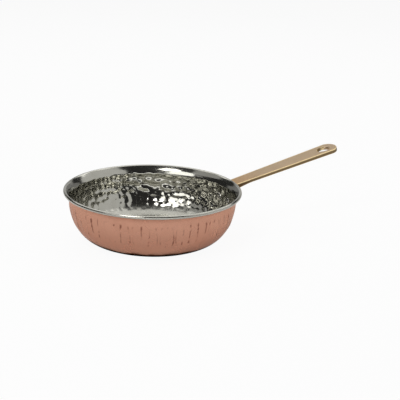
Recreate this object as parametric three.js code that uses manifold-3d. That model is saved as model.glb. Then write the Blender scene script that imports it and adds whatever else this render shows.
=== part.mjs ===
// Hammered copper frying pan with a steel lining and a cast brass handle.
// Millimetres, +Z up. The origin is the centre of the underside of the base, and the handle points along +X.
// A copper shell and a steel lining are spun to one shape. The lining's edge curls round the shell's edge,
// and the handle's palm lies against the wall, held by two rivets that pass through all three.
import * as THREE from "three";
import { mergeVertices } from "three/addons/utils/BufferGeometryUtils.js";
import Module from "manifold-3d";

const wasm = await Module();
wasm.setup();
const degrees = THREE.MathUtils.degToRad;

// Bowl
const RIM_DIAMETER = 180;
const PAN_HEIGHT = 52;
const BASE_DIAMETER = 105;
const SHELL_THICKNESS = 0.9;
const LINING_THICKNESS = 0.7;
const PLY_CLEARANCE = 0.2;
// The wall leaves the base level and ends leaning outwards. Its pulls say how far each end holds its line.
const CORNER_PULL = 20.6;
const WALL_PULL = 21.2;
const WALL_LEAN = degrees(1.5);
const LIP_BEND_RADIUS = 9;
const LIP_FLARE = degrees(40);
const LIP_LENGTH = 3;
// The lining's edge curls over the shell's edge and back, and stops this far from the shell's outer face.
const CURL_CLEARANCE = 0.35;

// Rivets. The drop is measured down from the top of the rim to the rivets' centres. The heads on the food
// side are hammered low.
const RIVET_SPACING = 20;
const RIVET_DROP = 21;
const RIVET_DIAMETER = 5;
const RIVET_HEAD_DIAMETER = 9;
const RIVET_HEAD_HEIGHT = 2.2;
const RIVET_INNER_HEAD_HEIGHT = 1.3;
const RIVET_HOLE_CLEARANCE = 0.25;
const RIVET_HEAD_CLEARANCE = 0.4;

// Handle: the palm lies on the wall, the bend passes under the rim, and the bar rises to a rounded end.
// The palm's drop runs down from the top of the rim to where the handle leaves the wall, and its margin is
// the brass left beside a rivet's head. The web thickens the underside of the bend and fades along the bar.
const HANDLE_REACH = 125;
const HANDLE_PITCH = degrees(13.2);
const BAR_ROOT_WIDTH = 17.8;
const BAR_END_WIDTH = 23.4;
const BAR_ROOT_THICKNESS = 3.2;
const BAR_END_THICKNESS = 3.9;
const BAR_END_ROUND = 9.5;
const WEB_THICKNESS = 5.4;
const WEB_LENGTH = 20;
const PALM_DROP = 11;
const PALM_ROUND = 12;
const PALM_MARGIN = 2.5;
const PALM_THICKNESS = 3;
const EDGE_RADIUS = 0.9;
const SEAT_CLEARANCE = 0.3;
const RIM_CLEARANCE = 0.35;

// Hanging eye: a drop shape with its wide end towards the handle's tip, and rims that are well rounded.
// Its sizes are those of its throat.
const EYE_LENGTH = 13.4;
const EYE_WIDTH = 10.6;
const EYE_POINT_WIDTH = 7;
const EYE_FROM_TIP = 8.6;
const EYE_ROUND = 1.5;
// How far the eye's cutter stands out of each face of the bar
const EYE_OVERSHOOT = 0.08;

// Facets
const ROUND_STEPS = 64;
const WALL_STEPS = 10;
const LIP_STEPS = 4;
const CURL_STEPS = 9;
const RIVET_STEPS = 20;
const DOME_STEPS = 4;
const PALM_STEPS = 5;
const BEND_STEPS = 6;
const WEB_STEPS = 5;
const BAR_STEPS = 4;
const END_STEPS = 7;
const SECTION_STEPS = 6;
const EYE_STEPS = 10;
const EYE_ROUND_STEPS = 3;

// Points nearer than this count as one
const MERGE_DISTANCE = 1e-4;

// A direction that leans outwards from vertical, and the normal to it on the food side
const along = (lean) => new THREE.Vector2(Math.sin(lean), Math.cos(lean));
const inward = (lean) => new THREE.Vector2(-Math.cos(lean), Math.sin(lean));
const foodSide = (tangent) => new THREE.Vector2(-tangent.y, tangent.x);

// Outer face of the shell as radius against height: level base, curved wall, flared lip
const plies = SHELL_THICKNESS + PLY_CLEARANCE + LINING_THICKNESS;
const curlRadius = plies;
const curlInnerRadius = curlRadius - LINING_THICKNESS;
const curlTurn = 1.5 * Math.PI - Math.asin(CURL_CLEARANCE / curlInnerRadius);
const lipEdge = new THREE.Vector2(RIM_DIAMETER / 2 - curlRadius, PAN_HEIGHT - curlRadius);
const lipBendEnd = lipEdge.clone().addScaledVector(along(LIP_FLARE), -LIP_LENGTH);
const lipBendCentre = lipBendEnd.clone().addScaledVector(inward(LIP_FLARE), -LIP_BEND_RADIUS);
const wallTop = lipBendCentre.clone().addScaledVector(inward(WALL_LEAN), LIP_BEND_RADIUS);
const baseEdge = new THREE.Vector2(BASE_DIAMETER / 2, 0);
const wall = new THREE.CubicBezierCurve(
  baseEdge,
  baseEdge.clone().add(new THREE.Vector2(CORNER_PULL, 0)),
  wallTop.clone().addScaledVector(along(WALL_LEAN), -WALL_PULL),
  wallTop,
);

// The same profile at a depth inside the shell's outer face, from the axis to the edge of the lip
function layer(depth) {
  const points = [new THREE.Vector2(0, depth)];
  for (let i = 0; i <= WALL_STEPS; i += 1) {
    const t = i / WALL_STEPS;
    points.push(wall.getPoint(t).addScaledVector(foodSide(wall.getTangent(t)), depth));
  }
  for (let i = 1; i <= LIP_STEPS; i += 1) {
    const lean = THREE.MathUtils.lerp(WALL_LEAN, LIP_FLARE, i / LIP_STEPS);
    points.push(lipBendCentre.clone().addScaledVector(inward(lean), LIP_BEND_RADIUS + depth));
  }
  points.push(lipEdge.clone().addScaledVector(inward(LIP_FLARE), depth));
  return points;
}

// The curl about the shell's outer edge, from the food side over the rim and back to the shell's outside
function curl(radius) {
  const points = [];
  for (let i = 1; i <= CURL_STEPS; i += 1) {
    const turn = (curlTurn * i) / CURL_STEPS;
    const point = lipEdge.clone().addScaledVector(inward(LIP_FLARE), radius * Math.cos(turn));
    points.push(point.addScaledVector(along(LIP_FLARE), radius * Math.sin(turn)));
  }
  return points;
}

// Point of the shell's outer face at a height, with its outward normal
function wallAt(height) {
  let low = 0;
  let high = 1;
  while (wall.getPoint(high).y - wall.getPoint(low).y > MERGE_DISTANCE) {
    const middle = (low + high) / 2;
    if (wall.getPoint(middle).y < height) low = middle;
    else high = middle;
  }
  return { point: wall.getPoint(low), outward: foodSide(wall.getTangent(low)).negate() };
}

// Solids for joins and cuts
function solid(geometry) {
  const bare = geometry.clone();
  bare.deleteAttribute("normal");
  bare.deleteAttribute("uv");
  const merged = mergeVertices(bare, MERGE_DISTANCE);
  const vertProperties = new Float32Array(merged.attributes.position.array);
  const triVerts = new Uint32Array(merged.index.array);
  return new wasm.Manifold(new wasm.Mesh({ numProp: 3, vertProperties, triVerts }));
}

function geometryOf(manifold) {
  const mesh = manifold.getMesh();
  const geometry = new THREE.BufferGeometry();
  geometry.setAttribute("position", new THREE.BufferAttribute(new Float32Array(mesh.vertProperties), 3));
  geometry.setIndex(new THREE.BufferAttribute(new Uint32Array(mesh.triVerts), 1));
  geometry.computeVertexNormals();
  return geometry;
}

function cut(geometry, cutters) {
  return geometryOf(cutters.reduce((body, cutter) => body.subtract(solid(cutter)), solid(geometry)));
}

// A profile of radius and height, turned round the Z axis
function spun(profile, steps) {
  return new THREE.LatheGeometry(profile, steps).rotateX(Math.PI / 2);
}

// Rivets: each stands square to the wall, its own +Z pointing out of the pan, from the shell's outer face
const rivetHeight = PAN_HEIGHT - RIVET_DROP;
const rivetSeat = wallAt(rivetHeight);
const rivetTurn = RIVET_SPACING / 2 / rivetSeat.point.x;
function rivetPlace(side) {
  const tilt = Math.atan2(rivetSeat.outward.x, rivetSeat.outward.y);
  const place = new THREE.Matrix4().makeRotationZ(side * rivetTurn);
  place.multiply(new THREE.Matrix4().makeTranslation(rivetSeat.point.x, 0, rivetSeat.point.y));
  return place.multiply(new THREE.Matrix4().makeRotationY(tilt));
}

// Quarter outline of a domed head, from its edge to its crown
function dome(base, crown) {
  const points = [];
  for (let i = 0; i <= DOME_STEPS; i += 1) {
    const turn = (Math.PI / 2) * (i / DOME_STEPS);
    const radius = (RIVET_HEAD_DIAMETER / 2) * Math.cos(turn);
    points.push(new THREE.Vector2(i === DOME_STEPS ? 0 : radius, base + (crown - base) * Math.sin(turn)));
  }
  return points;
}

function rivetGeometry() {
  const inside = -plies - RIVET_HEAD_CLEARANCE;
  const outside = SEAT_CLEARANCE + PALM_THICKNESS + RIVET_HEAD_CLEARANCE;
  const shank = RIVET_DIAMETER / 2;
  return spun([
    ...dome(inside, inside - RIVET_INNER_HEAD_HEIGHT).reverse(),
    new THREE.Vector2(shank, inside),
    new THREE.Vector2(shank, outside),
    ...dome(outside, outside + RIVET_HEAD_HEIGHT),
  ], RIVET_STEPS);
}

function rivetHole(side) {
  const radius = RIVET_DIAMETER / 2 + RIVET_HOLE_CLEARANCE;
  const length = 2 * (plies + SEAT_CLEARANCE + PALM_THICKNESS + RIVET_HEAD_DIAMETER);
  return new THREE.CylinderGeometry(radius, radius, length, RIVET_STEPS).rotateX(Math.PI / 2)
    .applyMatrix4(rivetPlace(side));
}
const rivetHoles = [rivetHole(-1), rivetHole(1)];

// Shell and lining
function shellGeometry() {
  const profile = [...layer(0), ...layer(SHELL_THICKNESS).reverse()];
  return cut(spun(profile, ROUND_STEPS), rivetHoles);
}

function liningGeometry() {
  const profile = [
    ...layer(SHELL_THICKNESS + PLY_CLEARANCE),
    ...curl(curlInnerRadius),
    ...curl(curlRadius).reverse(),
    ...layer(plies).reverse(),
  ];
  return cut(spun(profile, ROUND_STEPS), rivetHoles);
}

// Handle: its seat line runs up the wall, bends under the rim and goes out along the top of the bar
const barDirection = new THREE.Vector2(Math.cos(HANDLE_PITCH), Math.sin(HANDLE_PITCH));
const barUnder = new THREE.Vector2(Math.sin(HANDLE_PITCH), -Math.cos(HANDLE_PITCH));
const underRim = lipEdge.clone().addScaledVector(barUnder, curlRadius + RIM_CLEARANCE);
function seatAt(height) {
  const { point, outward } = wallAt(height);
  return point.addScaledVector(outward, SEAT_CLEARANCE);
}
const palmTopHeight = PAN_HEIGHT - PALM_DROP;
const palmBottomHeight = rivetHeight - PALM_ROUND;
const palmWidth = RIVET_SPACING + RIVET_HEAD_DIAMETER + 2 * PALM_MARGIN;
const palmTop = seatAt(palmTopHeight);
const palmTopDirection = foodSide(wallAt(palmTopHeight).outward);
// The corner where the palm's line and the bar's line would meet, which the bend rounds off
const toCorner = underRim.clone().sub(palmTop).cross(barDirection) / palmTopDirection.cross(barDirection);
const corner = palmTop.clone().addScaledVector(palmTopDirection, toCorner);
const barStart = corner.clone().addScaledVector(barDirection, toCorner);
const barLength = (RIM_DIAMETER / 2 + HANDLE_REACH - barStart.x) / barDirection.x;
const tip = barStart.clone().addScaledVector(barDirection, barLength);

function seatLine() {
  const palm = [];
  for (let i = 0; i <= PALM_STEPS; i += 1) {
    palm.push(seatAt(THREE.MathUtils.lerp(palmBottomHeight, palmTopHeight, i / PALM_STEPS)));
  }
  const line = new THREE.CurvePath();
  line.add(new THREE.SplineCurve(palm));
  line.add(new THREE.QuadraticBezierCurve(palmTop, corner, barStart));
  line.add(new THREE.LineCurve(barStart, tip));
  return line;
}

function handleGeometry() {
  const { lerp, smoothstep, clamp } = THREE.MathUtils;
  const line = seatLine();
  const [palmEnd, bendEnd, length] = line.getCurveLengths();
  const bendMiddle = (palmEnd + bendEnd) / 2;
  const webEnd = bendEnd + WEB_LENGTH;
  const roundStart = length - BAR_END_ROUND;
  const ellipse = (share) => Math.sqrt(Math.max(0, 1 - share * share));
  const alongBar = (s) => clamp((s - bendEnd) / (roundStart - bendEnd), 0, 1);

  // Half width, thickness and how far the section follows the round wall, at a distance along the seat line
  function halfWidth(s) {
    const bar = lerp(BAR_ROOT_WIDTH, BAR_END_WIDTH, alongBar(s)) / 2;
    const full = lerp(palmWidth / 2, bar, smoothstep(s, PALM_ROUND, bendEnd));
    if (s < PALM_ROUND) return full * ellipse(1 - s / PALM_ROUND);
    return full * ellipse(Math.max(0, s - roundStart) / BAR_END_ROUND);
  }
  function thickness(s) {
    const bar = lerp(BAR_ROOT_THICKNESS, BAR_END_THICKNESS, alongBar(s));
    const plain = lerp(PALM_THICKNESS, bar, smoothstep(s, palmEnd, bendEnd));
    const rise = smoothstep(s, (PALM_ROUND + palmEnd) / 2, bendMiddle);
    const fade = 1 - smoothstep(s, bendMiddle, webEnd);
    return lerp(plain, WEB_THICKNESS, rise * fade);
  }
  const wrap = (s) => 1 - smoothstep(s, palmEnd, bendEnd);

  // Stations along the line, close together where an end is rounded or the line bends
  const stations = [];
  const spread = (from, to, steps) => {
    for (let i = 0; i < steps; i += 1) stations.push(lerp(from, to, i / steps));
  };
  for (let i = 1; i < END_STEPS; i += 1) {
    stations.push(PALM_ROUND * (1 - Math.cos((Math.PI / 2) * (i / END_STEPS))));
  }
  spread(PALM_ROUND, palmEnd, PALM_STEPS);
  spread(palmEnd, bendEnd, BEND_STEPS);
  spread(bendEnd, webEnd, WEB_STEPS);
  spread(webEnd, roundStart, BAR_STEPS);
  for (let i = 0; i < END_STEPS; i += 1) {
    stations.push(roundStart + BAR_END_ROUND * Math.sin((Math.PI / 2) * (i / END_STEPS)));
  }

  const rings = stations.map((s) => {
    const point = line.getPointAt(s / length);
    const under = foodSide(line.getTangentAt(s / length)).negate();
    return roundedSection(halfWidth(s), thickness(s)).map(([across, depth]) => {
      const x = point.x + depth * under.x;
      const turn = across / point.x;
      return new THREE.Vector3(
        lerp(x, x * Math.cos(turn), wrap(s)),
        lerp(across, x * Math.sin(turn), wrap(s)),
        point.y + depth * under.y,
      );
    });
  });
  return cut(loft(rings), [...rivetHoles, eyeCutter()]);
}

// Rounded section of the handle as pairs of distance across and depth below the seat line
function roundedSection(half, depth) {
  const round = Math.min(EDGE_RADIUS, half / 2, depth / 2);
  const ease = round * (1 - Math.SQRT1_2);
  const flat = [];
  for (let i = 0; i <= SECTION_STEPS; i += 1) flat.push((half - round) * (1 - (2 * i) / SECTION_STEPS));
  const points = flat.map((across) => [across, 0]);
  points.push([-half + ease, ease], [-half, round], [-half, depth - round], [-half + ease, depth - ease]);
  points.push(...flat.map((across) => [-across, depth]));
  points.push([half - ease, depth - ease], [half, depth - round], [half, round], [half - ease, ease]);
  return points;
}

// Skin over a row of rings with the same number of points, closed at both ends
function loft(rings) {
  const count = rings[0].length;
  const positions = rings.flat().flatMap((point) => point.toArray());
  const index = [];
  for (let r = 0; r + 1 < rings.length; r += 1) {
    for (let i = 0; i < count; i += 1) {
      const next = (i + 1) % count;
      const [a, b, c, d] = [r * count + i, r * count + next, (r + 1) * count + next, (r + 1) * count + i];
      index.push(a, b, c, a, c, d);
    }
  }
  const last = (rings.length - 1) * count;
  for (let i = 1; i + 1 < count; i += 1) {
    index.push(0, i + 1, i);
    index.push(last, last + i, last + i + 1);
  }
  const geometry = new THREE.BufferGeometry();
  geometry.setAttribute("position", new THREE.Float32BufferAttribute(positions, 3));
  geometry.setIndex(index);
  return geometry;
}

// The eye's outline lies along the bar: a round end, straight sides, and a narrower round end. The cutter is a
// spool that flares at both faces of the bar, which rounds the eye's rims.
function eyeCutter() {
  const wide = EYE_WIDTH / 2;
  const narrow = EYE_POINT_WIDTH / 2;
  const between = EYE_LENGTH - wide - narrow;
  const meet = Math.acos((narrow - wide) / between);
  const outline = new THREE.Shape();
  outline.absarc(0, 0, wide, -meet, meet, false);
  outline.absarc(-between, 0, narrow, meet, 2 * Math.PI - meet, false);
  const round = Math.min(EYE_ROUND, BAR_END_THICKNESS / 2);
  const spool = new THREE.ExtrudeGeometry(outline, {
    depth: BAR_END_THICKNESS + 2 * EYE_OVERSHOOT - 2 * round,
    bevelThickness: round,
    bevelSize: -round,
    bevelOffset: round,
    bevelSegments: EYE_ROUND_STEPS,
    curveSegments: EYE_STEPS,
  });
  const centre = tip.clone().addScaledVector(barDirection, -EYE_FROM_TIP - wide);
  return spool
    .translate(0, 0, round - BAR_END_THICKNESS - EYE_OVERSHOOT)
    .rotateY(-HANDLE_PITCH)
    .translate(centre.x, 0, centre.y);
}

// Materials and the assembled pan
const copper = () => new THREE.MeshStandardMaterial({ color: "#b9806a", roughness: 0.32, metalness: 1 });
const steel = () => new THREE.MeshStandardMaterial({ color: "#b4b3ae", roughness: 0.22, metalness: 1 });
const brass = () => new THREE.MeshStandardMaterial({ color: "#c6ae8c", roughness: 0.45, metalness: 1 });

function piece(name, geometry, material) {
  const mesh = new THREE.Mesh(geometry, material);
  mesh.name = name;
  return mesh;
}

const pan = new THREE.Group();
pan.add(piece("copper_shell", shellGeometry(), copper()));
pan.add(piece("steel_lining", liningGeometry(), steel()));
pan.add(piece("brass_handle", handleGeometry(), brass()));
for (const [name, side] of [["front_rivet", -1], ["rear_rivet", 1]]) {
  const rivet = piece(name, rivetGeometry(), steel());
  rivet.applyMatrix4(rivetPlace(side));
  pan.add(rivet);
}

export default pan;
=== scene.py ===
# %% [markdown]
# # A hammered copper frying pan
# The pan is two thin sheets spun to one shape, copper outside and steel inside, and hammered all over. The
# steel's lip is curled round the copper's edge, and a cast brass handle is held to the wall by two rivets.
# Everything is in metres, in the frame of the CAD model: the base stands on the floor at the origin, and the
# handle points along +X.

# %% Load the frame
import math

import bmesh
import bpy
from mathutils import Matrix, Vector


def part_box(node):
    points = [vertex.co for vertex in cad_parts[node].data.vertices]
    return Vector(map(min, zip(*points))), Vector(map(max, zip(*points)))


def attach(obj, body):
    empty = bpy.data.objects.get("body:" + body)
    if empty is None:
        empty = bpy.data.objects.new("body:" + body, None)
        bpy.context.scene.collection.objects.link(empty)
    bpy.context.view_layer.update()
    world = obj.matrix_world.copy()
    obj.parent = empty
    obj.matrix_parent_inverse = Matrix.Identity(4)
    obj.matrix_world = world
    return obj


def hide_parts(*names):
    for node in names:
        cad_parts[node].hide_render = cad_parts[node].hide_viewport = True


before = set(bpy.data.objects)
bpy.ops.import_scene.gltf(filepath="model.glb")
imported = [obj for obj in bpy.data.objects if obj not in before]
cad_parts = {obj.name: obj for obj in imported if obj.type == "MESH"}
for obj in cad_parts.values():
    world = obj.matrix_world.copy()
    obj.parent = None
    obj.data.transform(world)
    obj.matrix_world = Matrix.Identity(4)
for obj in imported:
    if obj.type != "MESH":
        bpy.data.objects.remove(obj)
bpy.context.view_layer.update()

# %% [markdown]
# ## Helpers
# Shader and geometry trees are long lists of nodes, so one function adds a node, sets its options and fills
# its inputs. Colours are written as sRGB hex, as a paint chart gives them, and turned to linear light once.
# Points closer than the weld distance are one point.

# %% Helpers for colours and nodes
MM = 0.001
WELD = 0.001 * MM
MATH, VECTOR_MATH = "ShaderNodeMath", "ShaderNodeVectorMath"


def linear(colour):
    """The linear RGBA of an sRGB hex colour."""
    parts = [int(colour[i:i + 2], 16) / 255 for i in (1, 3, 5)]
    return [p / 12.92 if p <= 0.04045 else ((p + 0.055) / 1.055) ** 2.4 for p in parts] + [1.0]


def fill(tree, node, inputs):
    """Fills inputs, each with a plain value, a socket, or a node, whose first live output is linked."""
    for name, value in inputs.items():
        socket = node.inputs[name] if isinstance(name, int) else next(
            s for s in node.inputs if s.name == name and s.enabled)
        if isinstance(value, bpy.types.Node):
            value = next(s for s in value.outputs if s.enabled)
        if isinstance(value, bpy.types.NodeSocket):
            tree.links.new(value, socket)
        else:
            socket.default_value = value


def add(tree, kind, inputs=None, **options):
    """Adds a node with its options and inputs."""
    node = tree.nodes.new(kind)
    for name, value in options.items():
        setattr(node, name, value)
    fill(tree, node, inputs or {})
    return node


def new_metal(name):
    """A material with a bare metal shader, and its tree, shader and Object coordinates."""
    material = bpy.data.materials.new(name)
    material.use_nodes = True
    tree = material.node_tree
    shader = tree.nodes["Principled BSDF"]
    shader.inputs["Metallic"].default_value = 1.0
    return material, tree, shader, add(tree, "ShaderNodeTexCoord").outputs["Object"]


# %% [markdown]
# ## Finishes
# Copper sheet is hammered, polished and lacquered. Its colour drifts slowly from salmon to a browner red, and
# the lacquer and the polish leave it softly glossy, so the room shows in it without sharp edges. The polish
# leaves a grain that is drawn coarser than it is, so that it shows. Painted shade darkens the creases between
# the bulges, here and there along their run. The whole underside and a wavy line at the foot of the wall are
# painted dark brown, partly a heat stain and partly painted shade that stands in for the pan's contact shadow
# seen in the copper, and this brown stays dark even at a glancing angle.

# %% Copper finish
TARNISH_PATCH = 30 * MM
POLISH_GRAIN = 1.6 * MM
POLISH_RELIEF = 0.02 * MM
POLISH_STRENGTH = 0.25
CREASE_RUN = 9 * MM
CREASE_SHADE_FROM, CREASE_SHADE_FULL = 0.38, 0.56
BROWN_AND_SHADE_FULL = 5.2 * MM
BROWN_AND_SHADE_LEAST = 5.6 * MM
BROWN_AND_SHADE_MOST = 11 * MM
BROWN_AND_SHADE_WAVE = 16 * MM
WAVE_LOW, WAVE_HIGH = 0.3, 0.7
COPPER_LIGHT, COPPER_DARK = "#dda88f", "#cf967e"
# painted shade: a darker copper laid into the creases between the bulges
CREASE_PAINTED_SHADE = "#936150"
# part heat stain and part painted shade: the pan's contact shadow as the copper's foot would show it
HEAT_BROWN_AND_SHADE = "#2e1c13"
COPPER_GLANCING, BROWN_AND_SHADE_GLANCING = "#f4e6de", "#2a1810"
COPPER_SMOOTHEST, COPPER_ROUGHEST = 0.22, 0.32


def copper_finish():
    material, tree, shader, place = new_metal("hammered_lacquered_copper")
    tarnish = add(tree, "ShaderNodeTexNoise", {"Vector": place, "Scale": 1 / TARNISH_PATCH, "Detail": 3.0})
    open_copper = add(tree, "ShaderNodeMix", {
        "Factor": tarnish, "A": linear(COPPER_LIGHT), "B": linear(COPPER_DARK)}, data_type="RGBA")
    crease = add(tree, "ShaderNodeAttribute", attribute_name="crease").outputs["Fac"]
    run = add(tree, "ShaderNodeTexNoise", {"Vector": place, "Scale": 1 / CREASE_RUN, "Detail": 1.0})
    shade_here = add(tree, "ShaderNodeMapRange", {"Value": run, "From Min": CREASE_SHADE_FROM, "From Max": CREASE_SHADE_FULL})
    # painted shade in the creases, where the crease attribute and the run noise meet
    crease_shade = add(tree, MATH, {0: crease, 1: shade_here}, operation="MULTIPLY")
    crease_shaded = add(tree, "ShaderNodeMix", {
        "Factor": crease_shade, "A": open_copper, "B": linear(CREASE_PAINTED_SHADE)}, data_type="RGBA")
    height = add(tree, "ShaderNodeSeparateXYZ", {0: place}).outputs["Z"]
    wave = add(tree, "ShaderNodeTexNoise", {"Vector": place, "Scale": 1 / BROWN_AND_SHADE_WAVE, "Detail": 2.0})
    reach = add(tree, "ShaderNodeMapRange", {
        "Value": wave, "From Min": WAVE_LOW, "From Max": WAVE_HIGH,
        "To Min": BROWN_AND_SHADE_LEAST, "To Max": BROWN_AND_SHADE_MOST})
    # painted dark brown at the foot and under the base, partly heat stain and partly painted shade
    browned_and_shaded = add(tree, "ShaderNodeMapRange", {
        "Value": height, "From Min": reach, "From Max": BROWN_AND_SHADE_FULL})
    colour = add(tree, "ShaderNodeMix", {
        "Factor": browned_and_shaded, "A": crease_shaded, "B": linear(HEAT_BROWN_AND_SHADE)}, data_type="RGBA")
    glancing = add(tree, "ShaderNodeMix", {
        "Factor": browned_and_shaded, "A": linear(COPPER_GLANCING), "B": linear(BROWN_AND_SHADE_GLANCING)}, data_type="RGBA")
    grain = add(tree, "ShaderNodeTexNoise", {"Vector": place, "Scale": 1 / POLISH_GRAIN, "Detail": 2.0})
    gloss = add(tree, "ShaderNodeMapRange", {
        "Value": tarnish, "To Min": COPPER_SMOOTHEST, "To Max": COPPER_ROUGHEST})
    relief = add(tree, "ShaderNodeBump", {
        "Height": grain, "Strength": POLISH_STRENGTH, "Distance": POLISH_RELIEF})
    fill(tree, shader, {
        "Base Color": colour, "Specular Tint": glancing, "Roughness": gloss, "Normal": relief})
    return material


copper = copper_finish()
print("finish:", copper.name)

# %% [markdown]
# Stainless steel sheet is hammered and then polished bright, so each hollow mirrors its own piece of the
# room. A cloudy roughness, left by the polishing wheel, keeps it from being a perfect mirror. The base, which
# is scoured most, is duller.

# %% Steel finish
POLISH_CLOUD = 9 * MM
SATIN_TO = 15 * MM
SATIN_FULL = 6 * MM
STEEL_LIGHT, STEEL_DARK = "#c8c7bf", "#b8b6ab"
STEEL_SMOOTHEST, STEEL_ROUGHEST = 0.08, 0.18
SATIN_ADDS = 0.14


def steel_finish():
    material, tree, shader, place = new_metal("hammered_polished_steel")
    cloud = add(tree, "ShaderNodeTexNoise", {"Vector": place, "Scale": 1 / POLISH_CLOUD, "Detail": 4.0})
    colour = add(tree, "ShaderNodeMix", {
        "Factor": cloud, "A": linear(STEEL_LIGHT), "B": linear(STEEL_DARK)}, data_type="RGBA")
    gloss = add(tree, "ShaderNodeMapRange", {
        "Value": cloud, "To Min": STEEL_SMOOTHEST, "To Max": STEEL_ROUGHEST})
    height = add(tree, "ShaderNodeSeparateXYZ", {0: place}).outputs["Z"]
    satin = add(tree, "ShaderNodeMapRange", {
        "Value": height, "From Min": SATIN_TO, "From Max": SATIN_FULL, "To Min": 0.0, "To Max": SATIN_ADDS})
    rough = add(tree, MATH, {0: gloss, 1: satin}, operation="ADD")
    fill(tree, shader, {"Base Color": colour, "Roughness": rough})
    return material


steel = steel_finish()
print("finish:", steel.name)

# %% [markdown]
# The handle is brass cast in sand. Its two flats are rubbed down to a satin. Its edges are brighter, partly
# worn by hands and partly a painted highlight, and its narrow sides are painted darker brown as painted
# shade.
# Towards the pan the flats turn more orange and the sides are painted darker still, as painted shade under
# the rim. The sand leaves a fine grain, drawn here a little coarser than it is so that it shows. The mesh
# carries an attribute that is 1 along the edges, for the wear and painted highlight, and a side attribute
# that is 1 on the narrow sides, for the painted shade.

# %% Brass finish
SAND_GRAIN = 0.9 * MM
CAST_PATCH = 14 * MM
# towards the pan the flats turn more orange, and the sides take deeper painted shade
TOWARD_PAN_FROM = 125 * MM
TOWARD_PAN_FULL = 90 * MM
FLAT_LIGHT, FLAT_DARK, FLAT_TOWARD_PAN = "#cab293", "#baa283", "#c09c72"
# painted shade: the narrow sides are painted darker, and darker still towards the pan under the rim
SIDE_PAINTED_SHADE, SIDE_SHADE_TOWARD_PAN = "#8d7756", "#5c442d"
# edge wear together with a painted highlight along the edges
EDGE_WEAR_AND_HIGHLIGHT = "#f8dfac"
SATIN_SMOOTHEST, SATIN_ROUGHEST, WORN_ROUGHNESS = 0.34, 0.5, 0.38
SAND_RELIEF = 0.08 * MM
SAND_STRENGTH = 0.4


def brass_finish():
    material, tree, shader, place = new_metal("sand_cast_brass")
    patch = add(tree, "ShaderNodeTexNoise", {"Vector": place, "Scale": 1 / CAST_PATCH, "Detail": 3.0})
    grain = add(tree, "ShaderNodeTexNoise", {"Vector": place, "Scale": 1 / SAND_GRAIN, "Detail": 3.0})
    worn_and_highlit = add(tree, "ShaderNodeAttribute", attribute_name="worn_and_highlit").outputs["Fac"]
    side = add(tree, "ShaderNodeAttribute", attribute_name="side").outputs["Fac"]
    along_x = add(tree, "ShaderNodeSeparateXYZ", {0: place}).outputs["X"]
    toward_pan = add(tree, "ShaderNodeMapRange", {"Value": along_x, "From Min": TOWARD_PAN_FROM, "From Max": TOWARD_PAN_FULL})
    rubbed = add(tree, "ShaderNodeMix", {
        "Factor": patch, "A": linear(FLAT_LIGHT), "B": linear(FLAT_DARK)}, data_type="RGBA")
    flat = add(tree, "ShaderNodeMix", {
        "Factor": toward_pan, "A": rubbed, "B": linear(FLAT_TOWARD_PAN)}, data_type="RGBA")
    # painted shade on the narrow sides, deepest towards the pan
    shaded_side = add(tree, "ShaderNodeMix", {
        "Factor": toward_pan, "A": linear(SIDE_PAINTED_SHADE), "B": linear(SIDE_SHADE_TOWARD_PAN)}, data_type="RGBA")
    body = add(tree, "ShaderNodeMix", {"Factor": side, "A": flat, "B": shaded_side}, data_type="RGBA")
    # the edges are brightened by wear and a painted highlight
    colour = add(tree, "ShaderNodeMix", {
        "Factor": worn_and_highlit, "A": body, "B": linear(EDGE_WEAR_AND_HIGHLIGHT)}, data_type="RGBA")
    satin = add(tree, "ShaderNodeMapRange", {
        "Value": grain, "To Min": SATIN_SMOOTHEST, "To Max": SATIN_ROUGHEST})
    smooth = add(tree, "ShaderNodeMix", {"Factor": worn_and_highlit, "A": satin, "B": WORN_ROUGHNESS})
    relief = add(tree, "ShaderNodeBump", {
        "Height": grain, "Strength": SAND_STRENGTH, "Distance": SAND_RELIEF})
    fill(tree, shader, {"Base Color": colour, "Roughness": smooth, "Normal": relief})
    return material


brass = brass_finish()
print("finish:", brass.name)

# %% [markdown]
# The rivets are turned from stainless steel and headed over with a domed set, which leaves them bright with
# a few fine scuffs.

# %% Rivet finish
SCUFF = 0.8 * MM
RIVET_LIGHT, RIVET_DARK = "#cbc8c0", "#aeaba3"
RIVET_SMOOTHEST, RIVET_ROUGHEST = 0.16, 0.3


def rivet_finish():
    material, tree, shader, place = new_metal("headed_stainless_steel")
    scuff = add(tree, "ShaderNodeTexNoise", {"Vector": place, "Scale": 1 / SCUFF, "Detail": 2.0})
    colour = add(tree, "ShaderNodeMix", {
        "Factor": scuff, "A": linear(RIVET_LIGHT), "B": linear(RIVET_DARK)}, data_type="RGBA")
    gloss = add(tree, "ShaderNodeMapRange", {
        "Value": scuff, "To Min": RIVET_SMOOTHEST, "To Max": RIVET_ROUGHEST})
    fill(tree, shader, {"Base Color": colour, "Roughness": gloss})
    return material


rivet_steel = rivet_finish()
print("finish:", rivet_steel.name)

# %% [markdown]
# ## The bowl's outline
# Both sheets follow one outline of radius against height: a level base, a wall that curves up and a lip that
# flares. The CAD model gives the rim and the height, and the other sizes repeat it. A face of a sheet is this
# outline pushed towards the food by its depth, so the sheets nest without touching. At the lip's edge the
# steel alone goes on in a curl round the copper.

# %% Outline of the sheets
RIM_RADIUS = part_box("steel_lining")[1].x
PAN_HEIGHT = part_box("steel_lining")[1].z
BASE_RADIUS = 52.5 * MM
SHELL_THICKNESS = 0.9 * MM
LINING_THICKNESS = 0.7 * MM
PLY_CLEARANCE = 0.2 * MM
CORNER_PULL = 20.6 * MM
WALL_PULL = 21.2 * MM
WALL_LEAN = math.radians(1.5)
LIP_BEND_RADIUS = 9 * MM
LIP_FLARE = math.radians(40)
LIP_LENGTH = 3 * MM
CURL_CLEARANCE = 0.35 * MM
CURVE_STEPS = 200


def along(lean):
    return Vector((math.sin(lean), math.cos(lean)))


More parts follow.
